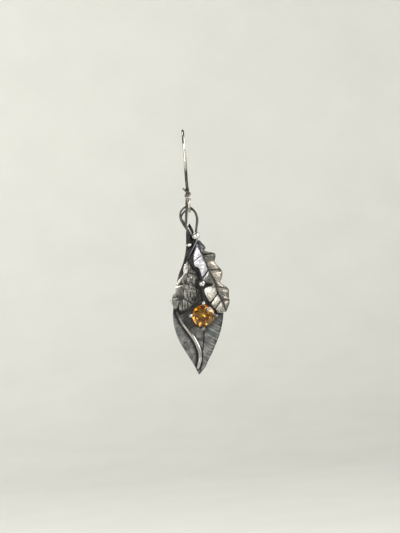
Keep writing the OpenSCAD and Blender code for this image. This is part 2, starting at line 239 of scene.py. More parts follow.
def hand_finish_effect():
    """Height of filing and brushing marks, with the small pits that are left in them."""
    inputs = {"Position": (0, 0, 0), "Marks": 0.5, "Pits": 0.5}
    group, given = shared_effect("hand_finish", inputs, ["Height"])
    sockets = {"Vector": given["Position"], "Rotation": (0.3, 0.5, 0.2), "Scale": (11, 9, 1.4)}
    long_way = add(group, "ShaderNodeMapping", sockets).outputs[0]
    marks = maths(group, "MULTIPLY", cloudy(group, long_way, 1.6, 3), given["Marks"])
    deep = ramp(group, cloudy(group, given["Position"], 9, 3), 0.28, 0.5)
    pits = maths(group, "MULTIPLY", deep, given["Pits"])
    add(group, "NodeGroupOutput", {"Height": maths(group, "ADD", marks, pits)})
    return group


tarnish = tarnish_effect()
hand_finish = hand_finish_effect()


class Finish:
    """A silver surface under way: its place in millimetres, its toning and the height of its marks."""

    def __init__(self, name, relief, depth, patches, grain, marks, pits, fineness=1.0):
        """relief is a share, or the name of the attribute on the mesh that holds it."""
        self.material, self.tree, self.shader = new_material(name)
        self.place = millimetres(self.tree)
        self.x, self.y, self.z = add(self.tree, "ShaderNodeSeparateXYZ", {0: self.place}).outputs
        if isinstance(relief, str):
            relief = self.written(relief)
        toned = add(self.tree, "ShaderNodeGroup", {
            "Position": self.place, "Relief": relief, "Depth": depth, "Patches": patches, "Grain": grain,
            "Fineness": fineness}, node_tree=tarnish)
        self.dark, self.cloud, self.speckle = toned.outputs
        worked = add(self.tree, "ShaderNodeGroup", {
            "Position": self.place, "Marks": marks, "Pits": pits}, node_tree=hand_finish)
        self.height = worked.outputs["Height"]

    def written(self, name):
        """The value that the mesh holds under a name."""
        return add(self.tree, "ShaderNodeAttribute", attribute_name=name).outputs["Fac"]

    def darken(self, share):
        self.dark = maths(self.tree, "ADD", self.dark, share, clamp=True)

    def darken_gaps_and_shadows(self, start, full):
        """Dark close to the neighbours, by the soot and painted shadow that are written on the mesh later.
        """
        patches = maths(self.tree, "MULTIPLY", self.cloud, 0.3)
        uneven = maths(self.tree, "ADD", self.written("soot_and_shadow"), patches)
        self.dark = maths(self.tree, "MAXIMUM", self.dark, ramp(self.tree, uneven, start, full))

    def close(self, bright, toned, smooth, rough, bump):
        """Feeds the shader: metal all over, that goes from bright and smooth to toned and rough."""
        self.shader.inputs["Metallic"].default_value = 1.0
        colour = mixed(self.tree, self.dark, bright, toned)
        self.tree.links.new(colour, self.shader.inputs["Base Color"])
        roughness = ramp(self.tree, self.dark, 0, 1, smooth, rough)
        self.tree.links.new(roughness, self.shader.inputs["Roughness"])
        sockets = {"Height": self.height, "Strength": 1, "Distance": bump * MM}
        raised = add(self.tree, "ShaderNodeBump", sockets)
        self.tree.links.new(raised.outputs[0], self.shader.inputs["Normal"])
        return self.material


def wire_finish():
    """Painted pale and a little warm on the hook, as a highlight, painted dark grey as shade on the tail
    and the twist, and rubbed on the loop.
    """
    made = Finish("drawn_silver", relief=0.8, depth=0.5, patches=0.5, grain=0.25, marks=0.5, pits=0.25)
    tree = made.tree
    # The upper hook is painted pale as a highlight, and the wire below it painted dark as shade
    painted_shade_below = ramp(tree, made.z, *WIRE_HIGHLIGHT_TO_SHADE_Z, 0, 0.92)
    in_front = ramp(tree, made.y, -1, 0, 1, 0)
    rubbed_loop = maths(tree, "MULTIPLY", in_front, ramp(tree, made.z, *LOOP_RUBBED_Z, 0, 0.72))
    made.darken(maths(tree, "SUBTRACT", painted_shade_below, rubbed_loop))
    cut_face = ramp(tree, distance(tree, made.place, CUT_END_SPOTS[-1]), 0.25, 0.5, 0.3, 1)
    made.dark = maths(tree, "MULTIPLY", made.dark, cut_face)
    return made.close(WIRE_PALE, WIRE_TONED, smooth=0.12, rough=0.26, bump=0.02)


def twist_spot(degrees, out):
    """Point of the twist, out from its axis. Its strands are steep in front and nearly level behind."""
    angle = math.radians(degrees)
    climb = TWIST_PITCH * (degrees - 90) / 360 - TWIST_STEEP * math.cos(angle)
    return LEG_X + out * math.cos(angle), LEG_Y - out * math.sin(angle), TWIST_LOW_Z + climb


def ear_wire_rows():
    """Rows x, y, z, radius of the wire's middle line, from the tail's tip to the snipped end."""
    aside, down = math.sin(math.radians(TAIL_LEAN)), math.cos(math.radians(TAIL_LEAN))
    tip = TAIL_END_L - 0.45 * TAIL_END_R
    turned = [tip] + TAIL_END_SPOTS
    rows = [(LEG_X - aside * far, BEND_R, TAIL_TURN_Z - down * far, TAIL_END_R) for far in turned]
    rows += [(x, BEND_R, z, WIRE_R) for x, z in TAIL_SPOTS]
    for degrees in range(0, 181, 10):
        angle = math.radians(degrees)
        rows.append((0, BEND_R * math.cos(angle), BEND_Z + BEND_R * math.sin(angle), WIRE_R))
    rows += [(x, LEG_Y, z, WIRE_R) for x, z in LEG_SPOTS]
    turns = range(TWIST_FROM, TWIST_TO + 1, TWIST_STEP)
    rows += [(*twist_spot(degrees, -TWIST_LEG_R), WIRE_R) for degrees in reversed(turns[1:])]
    rows += [(*spot, WIRE_R) for spot in EYE_SPOTS]
    rows += [(*twist_spot(degrees, TWIST_R), TWIST_WIRE_R) for degrees in turns]
    rows += [(*spot, TWIST_WIRE_R) for spot in CUT_END_SPOTS]
    return rows


ear_wire_mesh = swept_wire(ear_wire_rows(), steps=480, sides=18)
roughened(ear_wire_mesh, depth=0.012, grain=1.6)
ear_wire = as_piece(ear_wire_mesh, "ear_wire_loop_and_coil", wire_finish())
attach(ear_wire, "ear_wire")
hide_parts("ear_hook")


# Bail
# Thin silver wire taken twice round a rod, a hair apart, with the rear turn a little tighter. It is
# toned nearly black, with a highlight painted on the rear turn's lower left stretch, and its ends run
# under the large granule, where it is soldered to the leaves.
DROP_X = 0.05
BAIL_R = 0.21
BAIL_FRONT_Y = -0.2
BAIL_REAR_Y = 0.27

# x and z along each turn, from its left end to its right end
BAIL_FRONT = [
    (0.3, -23.8), (-0.15, -23.4), (-0.6, -22.6), (-1.25, -21.5), (-1.8, -20.5), (-2.15, -19.6),
    (-2.22, -18.7), (-2, -17.85), (-1.45, -17.25), (-0.8, -16.9), (-0.1, -16.95), (0.5, -17.35),
    (1.05, -18), (1.4, -18.8), (1.53, -19.75), (1.38, -20.8), (1.12, -21.9), (0.9, -23.2),
]
BAIL_REAR = [
    (0.45, -23.6), (0.15, -23.3), (-0.2, -22.7), (-0.72, -21.7), (-1.25, -20.7), (-1.75, -19.9),
    (-2.05, -19.2), (-1.7, -18.4), (-0.8, -17.6), (-0.1, -17.33), (0.62, -17.63), (1.1, -18.25),
    (1.33, -19), (1.4, -19.8), (1.19, -21.2), (0.9, -22.6),
]

# Name, depth, line, and how strongly a highlight is painted on its lower left stretch
BAIL_TURNS = [
    ("bail_front_turn", BAIL_FRONT_Y, BAIL_FRONT, 0),
    ("bail_rear_turn", BAIL_REAR_Y, BAIL_REAR, 0.6),
]
BAIL_HIGHLIGHT_Z = (-20.6, -21.6)
BAIL_HIGHLIGHT_X = (0.1, 0.5)
BAIL_GREY = (0.15, 0.15, 0.145, 1)
BAIL_HIGHLIGHT = (0.85, 0.84, 0.80, 1)
BAIL_BLACK = (0.025, 0.025, 0.025, 1)


def hung(bm):
    """Brings a mesh from the drop's own frame to its place under the eye."""
    bmesh.ops.translate(bm, vec=(DROP_X, LEG_Y, 0), verts=bm.verts)
    return bm


def bail_finish(name, rubbed_and_highlight):
    made = Finish(name, relief=0.35, depth=0.9, patches=0.6, grain=0.35, marks=0.5, pits=0.4)
    tree = made.tree
    made.darken_gaps_and_shadows(0.2, 0.7)
    # A highlight painted on the lower left stretch
    low = ramp(tree, made.z, *BAIL_HIGHLIGHT_Z, 0, rubbed_and_highlight)
    highlit_low_left = maths(tree, "MULTIPLY", low, ramp(tree, made.x, *BAIL_HIGHLIGHT_X, 1, 0))
    made.dark = maths(tree, "SUBTRACT", made.dark, highlit_low_left, clamp=True)
    grey = mixed(tree, highlit_low_left, BAIL_GREY, BAIL_HIGHLIGHT)
    return made.close(grey, BAIL_BLACK, smooth=0.15, rough=0.24, bump=0.03)


bail_turns = []
for bail_name, bail_y, bail_line, bail_highlight in BAIL_TURNS:
    bail_mesh = hung(swept_wire([(x, bail_y, z, BAIL_R) for x, z in bail_line], steps=90, sides=16))
    roughened(bail_mesh, depth=0.012, grain=1.8)
    bail = as_piece(bail_mesh, bail_name, bail_finish(bail_name + "_wire", bail_highlight))
    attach(bail, "drop")
    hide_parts("leaf_drop")
    bail_turns.append(bail)


# Back leaf
# A long pointed leaf of silver pressed with the skin of a real leaf, so that fine veins and a net stand
# up on it. It carries the other pieces, which are soldered on, and is toned dark and rubbed grey.
BACK_FACE_Y = 0.4
BACK_SHEET = 0.5
BACK_GROOVE = 0.12
BACK_GROOVE_R = 0.11
BACK_DOME = 0.35
BACK_VEIN = 0.045
BACK_VEIN_W = 0.2
VEIN_PITCH = 1.5
VEIN_SLOPE = 0.7
VEIN_BEND = 0.02
VEIN_WAVER = 0.12
BACK_STEPS = 260
EDGE_ROLL = 0.11

# Midrib x, z, left edge x, z, right edge x, z
BACK_ROWS = [
    (-0.35, -20.6, -0.48, -20.75, -0.22, -20.75),
    (-0.35, -21.6, -1.2, -22.2, 0.4, -22.2),
    (-0.25, -23.4, -1.42, -24.2, 0.75, -24.2),
    (0, -25.4, -1.65, -26.4, 1.4, -26.4),
    (0.3, -27.8, -2.5, -29.2, 2.4, -29.3),
    (0.6, -30.2, -3.75, -31.8, 3.2, -31.9),
    (0.85, -33, -4.6, -34.7, 4.2, -34.8),
    (1, -36, -5.35, -37.9, 5, -38),
    (1.1, -39, -5.8, -41, 5.45, -41),
    (1.05, -42, -5.6, -43.7, 4.95, -43.6),
    (0.82, -44.8, -4.95, -46.2, 4.1, -46),
    (0.5, -47.2, -3.95, -48.4, 3.05, -48.1),
    (0.12, -49.2, -3, -50.2, 2.15, -49.8),
    (-0.2, -51, -2.15, -51.8, 1.25, -51.2),
    (-0.6, -52.7, -1.6, -53.1, 0.35, -52.8),
    (-1.1, -54.3, -1.2, -54.2, -1, -54.15),
]

# Shares of the way from the midrib to the edge, close together at both
MIDRIB_SHARES = [0, 0.02, 0.045, 0.075, 0.11]
BACK_SHARES = MIDRIB_SHARES + [0.11 + 0.81 * i / 17 for i in range(1, 18)] + [0.95, 0.975, 0.99, 1]

# Ranges over which its shade comes in: round the stone, from the left and from below, and high up. The
# shade lies on the front face, and the back is toned softly.
STONE_SHADE_X = (-4.4, -3.4)
STONE_SHADE_Z = (-46.5, -43)
STONE_SHADE_SLOPE = 0.4
HIGH_SHADE_Z = (-34, -30)
FRONT_Y = (-3.42, -3.3)
BEHIND_Y = (-3.3, -3.2)
SHEEN_SPOT = (2.5, -3.8, -44.8)
BACK_GREY = (0.31, 0.31, 0.30, 1)
BACK_SHEEN = (0.26, 0.31, 0.31, 1)
BACK_BLACK = (0.03, 0.03, 0.03, 1)


def leaf_sheet(rows, stations, shares, front, back, mark):
    """Closed sheet of a leaf. front and back give a point's depth, its relief and its mark."""
    bm = bmesh.new()
    relief = bm.verts.layers.float.new("relief")
    marked = bm.verts.layers.float.new(mark)
    half = len(shares) - 1
    bmesh.ops.create_grid(bm, x_segments=len(stations) - 1, y_segments=2 * half, size=1)
    front_verts = bm.verts[:]
    copied = bmesh.ops.duplicate(bm, geom=bm.verts[:] + bm.edges[:] + bm.faces[:])["geom"]
    back_verts = [part for part in copied if isinstance(part, bmesh.types.BMVert)]
    lines = [row_at(rows, u) for u in stations]
    for verts, surface in ((front_verts, front), (back_verts, back)):
        for vert in verts:
            i = round((vert.co.x + 1) / 2 * (len(stations) - 1))
            j = round(vert.co.y * half)
            side = 2 if j < 0 else 4
            t = shares[abs(j)]
            line = lines[i]
            x = line[0] * (1 - t) + line[side] * t
            z = line[1] * (1 - t) + line[side + 1] * t
            y, vert[relief], vert[marked] = surface(line, stations[i], side, t, x, z)
            vert.co = (x, y, z)
    rims = [edge for edge in bm.edges if edge.is_boundary]
    bmesh.ops.bridge_loops(bm, edges=rims)
    return bm


def half_width(line, side):
    return math.hypot(line[side] - line[0], line[side + 1] - line[1])


def rolled_edge(line, side, t):
    """How far a sheet's face drops towards its edge, where it was filed round."""
    inside = half_width(line, side) * (1 - t)
    if inside >= EDGE_ROLL:
        return 0
    return EDGE_ROLL * (1 - math.sqrt(max(0, 1 - (1 - inside / EDGE_ROLL) ** 2)))


def edge_share(t, start):
    """0 up to the start and 1 at the edge."""
    return max(0, t - start) / (1 - start)


def ridge(number, width):
    """1 on a whole number and 0 further from it than width."""
    away = abs(number - round(number)) / width
    return (1 - away * away) ** 2 if away < 1 else 0


def back_front(line, u, side, t, x, z):
    out = abs(x - line[0])
    waver = VEIN_WAVER * noise.noise(Vector((x, 3, z)) * 0.6)
    number = (-z - VEIN_SLOPE * out + VEIN_BEND * out * out + waver) / VEIN_PITCH
    raised = ridge(number, BACK_VEIN_W) * min(1, 5 * t)
    groove = math.exp(-((out / BACK_GROOVE_R) ** 2))
    y = BACK_FACE_Y - BACK_DOME * t * (1 - t) + BACK_GROOVE * groove - BACK_VEIN * raised
    y += rolled_edge(line, side, t) + 0.015 * noise.noise(Vector((x, 0, z)) * 1.3)
    # Darker along the right edge and lighter along the left edge
    edge_tone = -0.7 * edge_share(t, 0.88) if side == 4 else 0.35 * edge_share(t, 0.96)
    return y, 0.5 + 0.3 * raised - 0.7 * groove + edge_tone, number


def back_back(line, u, side, t, x, z):
    uneven = 0.03 * noise.noise(Vector((x, 7, z)) * 0.45)
    return BACK_FACE_Y + BACK_SHEET - BACK_DOME * t * (1 - t) - uneven, 0.5, 0.5


def leaf_skin(tree, place, veins):
    """Height and rubbed lines of a leaf's skin: its side veins, finer lines along them, and a net."""
    bend = add(tree, "ShaderNodeTexNoise", {"Vector": place, "Scale": 1.4, "Detail": 2}).outputs["Color"]
    sockets = {0: bend, 1: (0.35, 0.35, 0.35), 2: place}
    moved = add(tree, "ShaderNodeVectorMath", sockets, operation="MULTIPLY_ADD").outputs[0]
    sockets = {"Vector": moved, "Scale": 2.2, "Randomness": 0.9}
    cells = add(tree, "ShaderNodeTexVoronoi", sockets, feature="DISTANCE_TO_EDGE")
    net = ramp(tree, cells.outputs["Distance"], 0, 0.12, 1, 0)
    from_vein = maths(tree, "PINGPONG", veins, 0.5)
    main = ramp(tree, from_vein, 0, 0.1, 1, 0)
    between = ramp(tree, from_vein, 0.5, 0.41, 1, 0)
    from_line = maths(tree, "PINGPONG", maths(tree, "MULTIPLY", veins, 4), 0.5)
    fine = ramp(tree, from_line, 0, 0.3, 1, 0)
    large = maths(tree, "MAXIMUM", main, maths(tree, "MULTIPLY", between, 0.7))
    small = maths(tree, "ADD", maths(tree, "MULTIPLY", net, 0.35), maths(tree, "MULTIPLY", fine, 0.5))
    lines = maths(tree, "ADD", maths(tree, "MULTIPLY", large, 0.25), small)
    return maths(tree, "ADD", large, small), lines


def back_leaf_finish():
    made = Finish(
        "leaf_skin_silver", relief="relief", depth=0.75, patches=0.75, grain=0.45, marks=0.25, pits=0.3)
    tree = made.tree
    skin_height, skin_lines = leaf_skin(tree, made.place, made.written("veins"))
    made.height = maths(tree, "ADD", made.height, maths(tree, "MULTIPLY", skin_height, 1.6))
    lines = maths(tree, "MULTIPLY", skin_lines, 0.75)
    made.dark = maths(tree, "SUBTRACT", maths(tree, "ADD", made.dark, 0.38), lines, clamp=True)
    made.darken_gaps_and_shadows(0.15, 0.95)
    slanting = maths(tree, "SUBTRACT", made.z, maths(tree, "MULTIPLY", made.x, STONE_SHADE_SLOPE))
    round_stone = maths(
        tree, "MULTIPLY", ramp(tree, slanting, *STONE_SHADE_Z), ramp(tree, made.x, *STONE_SHADE_X))
    shaded = maths(tree, "MAXIMUM", round_stone, ramp(tree, made.z, *HIGH_SHADE_Z))
    shaded = maths(tree, "MULTIPLY", shaded, ramp(tree, made.y, *FRONT_Y, 1, 0))
    uneven = maths(tree, "SUBTRACT", shaded, maths(tree, "MULTIPLY", made.speckle, 0.2))
    made.dark = maths(tree, "MAXIMUM", made.dark, uneven)
    soft = maths(tree, "ADD", maths(tree, "MULTIPLY", made.cloud, 0.4), 0.3)
    softer = maths(tree, "SUBTRACT", soft, made.dark)
    softer = maths(tree, "MULTIPLY", softer, ramp(tree, made.y, *BEHIND_Y))
    made.dark = maths(tree, "ADD", made.dark, softer)
    sheen = ramp(tree, distance(tree, made.place, SHEEN_SPOT), 0.4, 2, 0.7, 0)
    grey = mixed(tree, sheen, BACK_GREY, BACK_SHEEN)
    return made.close(grey, BACK_BLACK, smooth=0.3, rough=0.44, bump=0.03)


back_stations = [(len(BACK_ROWS) - 1) * i / BACK_STEPS for i in range(BACK_STEPS + 1)]
back_mesh = leaf_sheet(BACK_ROWS, back_stations, BACK_SHARES, back_front, back_back, "veins")
back_leaf = as_piece(hung(back_mesh), "back_leaf", back_leaf_finish())
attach(back_leaf, "drop")
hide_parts("leaf_drop")


# Right leaf
# A lobed leaf sawn from thin silver, with its lobes domed from behind and its veins cut in with a
# graver. It is folded along its midrib and soldered on. Its left half is burnished bright, and its
# right half keeps its toning. Highlights are painted on the lip below each cut vein and in the middle of
# the right half's lower lobes. The burnish is painted cool above and warmer below, as reflections, and
# painted darker on the right half.
LOBED_SHEET = 0.35
LOBE_DOME = 0.3
BURNISHED_DOME = 0.45
VEIN_CUT = 0.18
VEIN_LIP = 0.07
LIP_PAINTED_HIGHLIGHT = 0.2
RIGHT_MIDRIB = 0.2
THICK_RIB = 0.6
THICK_RIB_Z = -33.4
THICK_RIB_H = 1.7
MIDRIB_POLISH = 0.1
MIDRIB_SLOPE = 0.324
MIDRIB_AT = -7.0
RIGHT_FACE_Y = -0.8
RIGHT_FALL = 0.35
RIGHT_FOLD = 0.9
BASE_DIP = 0.8
BASE_DIP_Z = -27
BASE_DIP_H = 2.3

# In rows of the table: a cut vein's half width, the place and half width of the lip below it, and the
# end of the violet lobe
CUT_ROWS = 0.085
LIP_AT_ROWS = 0.24
LIP_ROWS = 0.1
VIOLET_ROWS = 2.5

# Midrib x, z, left edge x, z, right edge x, z, left cut, right cut, left polish and painted highlight,
# right polish and painted highlight
RIGHT_ROWS = [
    (0.95, -24.7, 0.78, -24.95, 1.5, -24.45, 0, 0, 0.3, 0),
    (1.15, -25.7, 0.3, -26.5, 2.75, -26.15, 0, 0, 0.8, 0),
    (1.5, -26.8, -0.05, -27.6, 2.5, -26.95, 0, 0, 1, 0.2),
    (1.9, -27.8, -0.15, -29.2, 4.6, -27.65, 0.6, 1, 1, -0.3),
    (2.2, -28.8, 0.1, -30.2, 4.8, -28.5, 0, 0, 1, -0.2),
    (2.6, -29.9, 0.95, -30.85, 4.55, -29.6, 0, 0, 1.2, 0.5),
    (3, -31.2, 1.45, -33.1, 5.85, -31.5, 1, 1.7, 0.65, 0.6),
    (3.5, -32.3, 1.85, -33.9, 6, -32.3, 0, 0, 0.05, 0.9),
    (4, -33.4, 2.6, -34.2, 5.75, -33.3, 0, 0, 0, 1),
    (4.35, -34.4, 3.4, -34.6, 5.4, -34.3, 0, 0, 0.2, 0.4),
    (4.35, -35.1, 1.95, -35.1, 7, -35.7, 0, 2.6, 0.3, 0.7),
    (4.4, -35.8, 1.65, -36.2, 7.05, -36.7, 0, 0, 1.1, 0.25),
    (4.6, -36.6, 2.75, -38.7, 7, -37.4, 1, 0, 0.95, 0.1),
    (4.95, -37.4, 3.1, -39.4, 6.95, -37.9, 0, 0, 1, 0.2),
    (5.3, -38.1, 3.6, -40.15, 7.1, -38.3, 1, 1.5, 0.95, 0.5),
    (5.6, -39, 4.2, -40.8, 6.95, -39.1, 0, 0, 1, 0.3),
    (5.85, -39.9, 5.1, -41, 6.6, -39.9, 0, 0, 0.9, 0.2),
    (6.15, -40.75, 6.05, -40.8, 6.25, -40.65, 0, 0, 0.6, 0.3),
]
LOBED_SHARES = MIDRIB_SHARES + [0.11 + 0.8 * i / 15 for i in range(1, 16)] + [0.945, 0.97, 0.988, 1]
ROW_PARTS = (0, 0.04, 0.08, 0.13, 0.2, 0.32, 0.44, 0.56, 0.68, 0.8, 0.87, 0.92, 0.96)

# Heights where the burnish's painted reflection gets warmer, where the top lobe turns violet, and where
# dark spots begin
WARMER_Z = (-33.5, -36)
VIOLET_Z = (-27.5, -26.5)
SPOTTED_Z = (-38, -39)
BURNISHED_COOL = (0.83, 0.82, 0.90, 1)
BURNISHED_WARM = (0.88, 0.84, 0.76, 1)
BURNISHED_RIGHT = (0.6, 0.53, 0.46, 1)
TONED_GREY = (0.11, 0.11, 0.105, 1)
TONED_OLIVE = (0.3, 0.29, 0.25, 1)
VIOLET_BLACK = (0.02, 0.02, 0.028, 1)
VIOLET_GREY = (0.19, 0.18, 0.22, 1)
RUBBED_SPECKS = (0.85, 0.83, 0.78, 1)
RIGHT_BLACK = (0.06, 0.06, 0.052, 1)


def lobe_stations(rows):
    """Places along a lobed leaf, close together at its cut veins."""
    return [i + part for i in range(len(rows) - 1) for part in ROW_PARTS] + [len(rows) - 1]


def lobed_front(line, rows, u, side, t, x, z, fullness, midrib_wide, cut_share, uneven):
    """Height, relief, polish and painted highlight, and lip of a lobed leaf's front: domed lobes, with its
    veins cut in.
    """
    cut, polish_and_highlight = (6, 8) if side == 2 else (7, 9)  # columns of the table
    cut_wide = cut_share * max(min(line[cut], 1), 0) ** 3
    cut_here = rows[round(u)][cut]
    cut_rows = CUT_ROWS * max(1, 0.55 + 0.45 * cut_here)
    cut_line = math.exp(-(((u - round(u)) / cut_rows) ** 2)) * cut_here
    lip = math.exp(-((((u - int(u)) - LIP_AT_ROWS) / LIP_ROWS) ** 2)) * rows[int(u)][cut] * min(1, 3 * t)
    midrib = math.exp(-((t * half_width(line, side) / midrib_wide) ** 2))
    faded = 1 if t < 0.9 else 1 - 4 * (t - 0.9)
    engraved = cut_share * max(min(cut_line, 1) * faded, midrib)
    arch = 4 * t * (1 - t)
    dome = -LOBE_DOME * fullness * arch * (1 - 0.5 * cut_wide)
    small = 0.03 * noise.noise(Vector((x, 1, z)) * 1.7) + 0.014 * noise.noise(Vector((x, 5, z)) * 4.5)
    relief = 0.6 + 0.15 * arch - 0.25 * cut_wide - 0.95 * engraved + 0.35 * lip
    rise = dome + VEIN_CUT * (0.45 * cut_wide + 0.75 * engraved) - VEIN_LIP * lip + small * uneven
    return rise + rolled_edge(line, side, t), relief, line[polish_and_highlight], lip


def right_lie(line, side, t):
    dip = max(0, (line[1] - BASE_DIP_Z) / BASE_DIP_H) ** 2
    return RIGHT_FACE_Y + (RIGHT_FOLD if side == 4 else RIGHT_FALL) * t + BASE_DIP * dip * (1 - 0.4 * t)


def right_front(line, u, side, t, x, z):
    fullness = BURNISHED_DOME if side == 2 else 1
    rib = RIGHT_MIDRIB * (1 + THICK_RIB * math.exp(-(((z - THICK_RIB_Z) / THICK_RIB_H) ** 2)))
    rise, relief, polish_and_highlight, lip = lobed_front(line, RIGHT_ROWS, u, side, t, x, z, fullness, rib, 1, 1)
    if side == 4:
        relief -= 0.5 * edge_share(t, 0.85)
        # A highlight painted in the middle of each lower lobe of the right half, darker towards its edges
        polish_and_highlight += (0.25 - 3 * (t - 0.5) ** 2) * min(1, max(0, u - VIOLET_ROWS))
    else:
        relief += 0.4 * edge_share(t, 0.96)
    # The lip below a cut vein gets a painted highlight
    polish_and_highlight = polish_and_highlight + LIP_PAINTED_HIGHLIGHT * lip if t > 0 else MIDRIB_POLISH
    return right_lie(line, side, t) + rise, relief, polish_and_highlight


def right_back(line, u, side, t, x, z):
    fullness = BURNISHED_DOME if side == 2 else 1
    return right_lie(line, side, t) + LOBED_SHEET - 0.9 * LOBE_DOME * fullness * 4 * t * (1 - t), 0.4, 0.3


def right_leaf_finish():
    """Burnished white where the polish and painted highlight reach 1, mottled olive and grey with rubbed
    specks where they are 0.
    """
    made = Finish(
        "burnished_and_toned_leaf", relief="relief", depth=0.9, patches=0.45, grain=0.55, marks=0.6,
        pits=0.4)
    tree = made.tree
    centred = maths(tree, "SUBTRACT", made.cloud, 0.5)
    patchy = maths(tree, "ADD", made.written("polish_and_highlight"), maths(tree, "MULTIPLY", centred, 0.3))
    across = maths(tree, "ADD", made.x, maths(tree, "MULTIPLY", made.z, MIDRIB_SLOPE))
    right_half = ramp(tree, across, MIDRIB_AT, MIDRIB_AT + 0.3)
    # The burnish is painted cool above and warmer below, as reflections, and painted darker on the right
    # half
    burnished = mixed(tree, ramp(tree, made.z, *WARMER_Z), BURNISHED_COOL, BURNISHED_WARM)
    burnished = mixed(tree, right_half, burnished, BURNISHED_RIGHT)
    violet = mixed(tree, ramp(tree, made.speckle, 0.35, 0.7), VIOLET_BLACK, VIOLET_GREY)
    toned = mixed(tree, made.cloud, TONED_GREY, TONED_OLIVE)
    toned = mixed(tree, ramp(tree, made.z, *VIOLET_Z), toned, violet)
    mottled = maths(tree, "MULTIPLY", maths(tree, "SUBTRACT", made.speckle, 0.5), right_half)
    made.darken(maths(tree, "MULTIPLY", mottled, 0.8))
    dull = ramp(tree, patchy, 0.15, -0.5, 0, 0.5)
    spots = ramp(tree, maths(tree, "ADD", made.speckle, made.cloud), 1.15, 0.75)
    low_spots = maths(tree, "MULTIPLY", spots, ramp(tree, made.z, *SPOTTED_Z, 0, 0.75))
    made.darken(maths(tree, "ADD", dull, low_spots))
    made.darken_gaps_and_shadows(0.3, 0.8)
    high = mixed(tree, ramp(tree, patchy, 0.15, 0.95), toned, burnished)
    high = mixed(tree, ramp(tree, made.speckle, 0.75, 0.95, 0, 0.7), high, RUBBED_SPECKS)
    return made.close(high, RIGHT_BLACK, smooth=0.22, rough=0.42, bump=0.045)


right_stations = lobe_stations(RIGHT_ROWS)
right_mesh = leaf_sheet(RIGHT_ROWS, right_stations, LOBED_SHARES, right_front, right_back, "polish_and_highlight")
right_leaf = as_piece(hung(right_mesh), "right_leaf", right_leaf_finish())
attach(right_leaf, "drop")
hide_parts("leaf_drop")


# Left leaf
# The second lobed leaf, made as the first is but laid nearly flat on the back leaf, with its left lobes
# turned up. It is toned mid grey, in mottled patches. Its upturned edges are rubbed and painted bright,
# as highlights, and it is painted darker towards its right edge, under the right leaf, as shade.
LEFT_FACE_Y = 0.28
LEFT_TURN_UP = 0.6
LEFT_MIDRIB = 0.08
LEFT_CUTS = 0.35
LEFT_UNEVEN = 1.3
HIGHLIT_RIM_AT_ROW = 3.8
HIGHLIT_RIM_ROWS = 1.7
LEFT_GREY = (0.40, 0.405, 0.385, 1)
LEFT_OLIVE = (0.46, 0.44, 0.39, 1)
LEFT_RUBBED_AND_HIGHLIGHT = (0.96, 0.94, 0.88, 1)
LEFT_BLACK = (0.04, 0.04, 0.037, 1)

# The same columns as in the right leaf's table
LEFT_ROWS = [
    (-1.4, -28.75, -1.55, -28.85, -1.25, -28.85, 0, 0, 1, 0.5),
    (-1.4, -29.6, -2.4, -30, -0.4, -30.2, 0, 0, 1.3, 0.6),
    (-1.5, -30.6, -2.6, -31.2, 0.3, -31.5, 1, 0, 1.3, 0.5),
    (-1.65, -31.5, -2.65, -31.8, 0.85, -32.4, 0, 1, 0.7, 0.3),
    (-1.85, -32.4, -3.9, -33, 1.05, -33.4, 0, 0, 0.6, 0.4),
    (-2.3, -33.8, -4.55, -34.15, 0.65, -35, 1, 1, 0.4, 0.4),
    (-2.7, -34.8, -4.8, -35.3, 0.2, -36.2, 0, 0, 0.5, 0.5),
    (-3.05, -35.7, -5.4, -36.1, -0.3, -37.3, 0, 0, 0.5, 0.5),
    (-3.55, -36.7, -5.7, -36.85, -1.1, -38.6, 1, 1, 0.4, 0.4),
    (-3.9, -37.5, -6.2, -37.4, -1.8, -39.4, 0, 0, 0.5, 0.5),
    (-4.2, -38.4, -5.6, -38.6, -2.7, -40, 0, 0, 0.4, 0.5),
    (-4.45, -39.2, -5.35, -39.3, -3.7, -40.2, 0, 0, 0.3, 0.4),
    (-4.75, -39.95, -4.9, -39.85, -4.6, -40.05, 0, 0, 0.2, 0.2),
]


def left_lie(side, t):
    return LEFT_FACE_Y - (LEFT_TURN_UP * t * t if side == 2 else 0)


def left_front(line, u, side, t, x, z):
    cuts = LEFT_CUTS + (0.65 * t if side == 2 else 0)
    rise, relief, polish_and_highlight, lip = lobed_front(
        line, LEFT_ROWS, u, side, t, x, z, 1, LEFT_MIDRIB, cuts, LEFT_UNEVEN)
    # The upturned left lobes get painted highlights, and the right side is painted darker towards the right
    # leaf, as shade
    if side == 2:
        painted_light_and_shade = 0.35 * t ** 4
        near_rim = max(0, 1 - abs(u - HIGHLIT_RIM_AT_ROW) / HIGHLIT_RIM_ROWS)
        rubbed_and_highlight = 1.3 * lip * t + 1.2 * edge_share(t, 0.65) * near_rim
    else:
        painted_light_and_shade = -0.15 * t - 0.3 * t ** 3
        rubbed_and_highlight = 0
    return left_lie(side, t) + rise, 0.1 + 0.7 * relief + painted_light_and_shade, polish_and_highlight + painted_light_and_shade + rubbed_and_highlight


def left_back(line, u, side, t, x, z):
    return left_lie(side, t) + LOBED_SHEET, 0.4, 0.3


